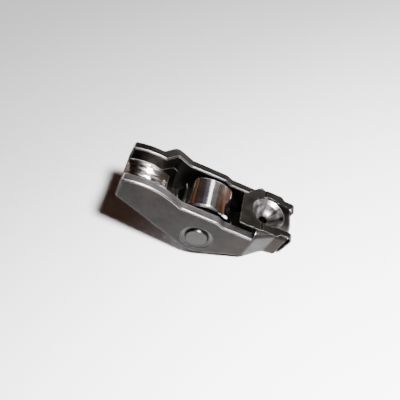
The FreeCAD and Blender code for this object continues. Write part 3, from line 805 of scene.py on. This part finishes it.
def area_light(name, place, size, energy, colour):
    """Hang a soft rectangular lamp that points at the part and that the camera doesn't see."""
    lamp = bpy.data.lights.new(name, "AREA")
    lamp.shape = "RECTANGLE"
    lamp.size, lamp.size_y = size
    lamp.energy = energy
    lamp.color = colour
    holder = bpy.data.objects.new(name, lamp)
    holder.location = place
    holder.rotation_euler = (Vector(LAMP_AIM) - Vector(place)).to_track_quat("-Z", "Y").to_euler()
    holder.visible_camera = False
    bpy.context.scene.collection.objects.link(holder)
    return holder


def strip_light(name, turn, width, colour, reach):
    """Hang a strip of light behind the roller, square to it, at a turn about the axle's line."""
    turn = math.radians(turn)
    level = math.sqrt(1 - STRIP_LEAN ** 2)
    away = Vector((level * math.sin(turn), STRIP_LEAN, level * math.cos(turn)))
    short = Vector((math.cos(turn), 0, -math.sin(turn)))
    size = (reach * level * math.radians(width), STRIP_LENGTH)
    strength = max(colour)
    power = math.pi * size[0] * size[1] * strength
    holder = area_light(name, away * reach, size, power, [value / strength for value in colour])
    holder.rotation_euler = Matrix((short, away.cross(short), away)).transposed().to_euler()
    holder.visible_diffuse = False


def flat_stage(name, corners, material):
    """Add a flat four-cornered piece of the stage."""
    mesh = bpy.data.meshes.new(name)
    mesh.from_pydata(corners, [], [(0, 1, 2, 3)])
    piece = bpy.data.objects.new(name, mesh)
    bpy.context.scene.collection.objects.link(piece)
    dress(piece, material)
    return piece


def mirrored_card(name, near, far, height, colour):
    """Stand a card behind the part that only the polished faces see, in place of the table."""
    corners = [(*near, 0), (*far, 0), (*far, height), (*near, height)]
    card = flat_stage(name, corners, card_light(name, colour))
    card.visible_camera = False
    card.visible_diffuse = False
    card.visible_shadow = False


def studio_air():
    """Fill the air with a dim warm light, before a pale grey backdrop."""
    world = bpy.data.worlds.new("studio_air")
    world.use_nodes = True
    air = world.node_tree
    dim = air.nodes["Background"]
    dim.inputs["Color"].default_value = AIR_COLOUR
    dim.inputs["Strength"].default_value = AIR_STRENGTH
    backdrop = air.nodes.new("ShaderNodeBackground")
    backdrop.inputs["Color"].default_value = BACKDROP_GREY
    seen = air.nodes.new("ShaderNodeLightPath")
    chosen = air.nodes.new("ShaderNodeMixShader")
    sources = (seen.outputs["Is Camera Ray"], dim.outputs[0], backdrop.outputs[0])
    for source, socket in zip(sources, chosen.inputs):
        air.links.new(source, socket)
    air.links.new(chosen.outputs[0], air.nodes["World Output"].inputs[0])
    return world


def place_camera(setup):
    """Set the camera above the near wall, looking down at the part."""
    camera = bpy.data.cameras.new("camera")
    camera.lens = setup.lens
    camera.sensor_width = SENSOR_WIDTH
    camera.clip_start = NEAREST_SEEN
    holder = bpy.data.objects.new("camera", camera)
    holder.location = setup.camera_place
    holder.rotation_euler = setup.camera_turn
    bpy.context.scene.collection.objects.link(holder)
    bpy.context.scene.camera = holder


class ROCKER_OT_stage(bpy.types.Operator):
    """Set the table, the light and the camera."""

    bl_idname = "rocker.stage"
    bl_label = "Table, light and camera"

    def execute(self, context):
        setup = context.scene.rocker_studio
        far = TABLE_HALF
        corners = [(-far, -far, 0), (far, -far, 0), (far, far, 0), (-far, far, 0)]
        flat_stage("table_top", corners, pale_table(setup.table))
        context.scene.world = studio_air()
        side = setup.key_size
        area_light("key_lamp", setup.key_place, (side, side), setup.key_power, KEY_WHITE)
        for name, place, size, power, colour in METAL_LAMPS:
            lamp = area_light(name, place, size, power, colour)
            lamp.visible_diffuse = False
        for name, turn, width, colour in STRIPS:
            strip_light(name, turn, width, colour, setup.card_reach)
        for name, near, far, height, colour in CARDS:
            mirrored_card(name, near, far, height, colour)
        place_camera(setup)
        return {"FINISHED"}


STEPS = (
    ROCKER_OT_lever,
    ROCKER_OT_roller,
    ROCKER_OT_axle,
    ROCKER_OT_bearing,
    ROCKER_OT_clip,
    ROCKER_OT_stage,
)


class ROCKER_PT_panel(bpy.types.Panel):
    """Buttons and sizes of the rocker arm."""

    bl_idname = "ROCKER_PT_panel"
    bl_label = "Rocker arm"
    bl_space_type = "VIEW_3D"
    bl_region_type = "UI"
    bl_category = "Rocker arm"

    def draw(self, context):
        for step in STEPS:
            self.layout.operator(step.bl_idname)
        scene = context.scene
        for group in (scene.rocker_roller, scene.rocker_colours, scene.rocker_studio):
            box = self.layout.box()
            for name in group.bl_rna.properties.keys():
                if name not in ("name", "rna_type"):
                    box.prop(group, name)


CLASSES = (RollerSizes, SteelColours, StudioSetup, *STEPS, ROCKER_PT_panel)


def register():
    """Register the classes and hang the settings on the scene."""
    for item in CLASSES:
        bpy.utils.register_class(item)
    bpy.types.Scene.rocker_roller = PointerProperty(type=RollerSizes)
    bpy.types.Scene.rocker_colours = PointerProperty(type=SteelColours)
    bpy.types.Scene.rocker_studio = PointerProperty(type=StudioSetup)


def unregister():
    """Take the settings and the classes away again."""
    del bpy.types.Scene.rocker_studio
    del bpy.types.Scene.rocker_colours
    del bpy.types.Scene.rocker_roller
    for item in reversed(CLASSES):
        bpy.utils.unregister_class(item)


def main():
    """Dress the part and set the stage."""
    register()
    bpy.ops.rocker.lever()
    bpy.ops.rocker.roller()
    bpy.ops.rocker.axle()
    bpy.ops.rocker.bearing()
    bpy.ops.rocker.clip()
    bpy.ops.rocker.stage()


if __name__ == "__main__":
    main()
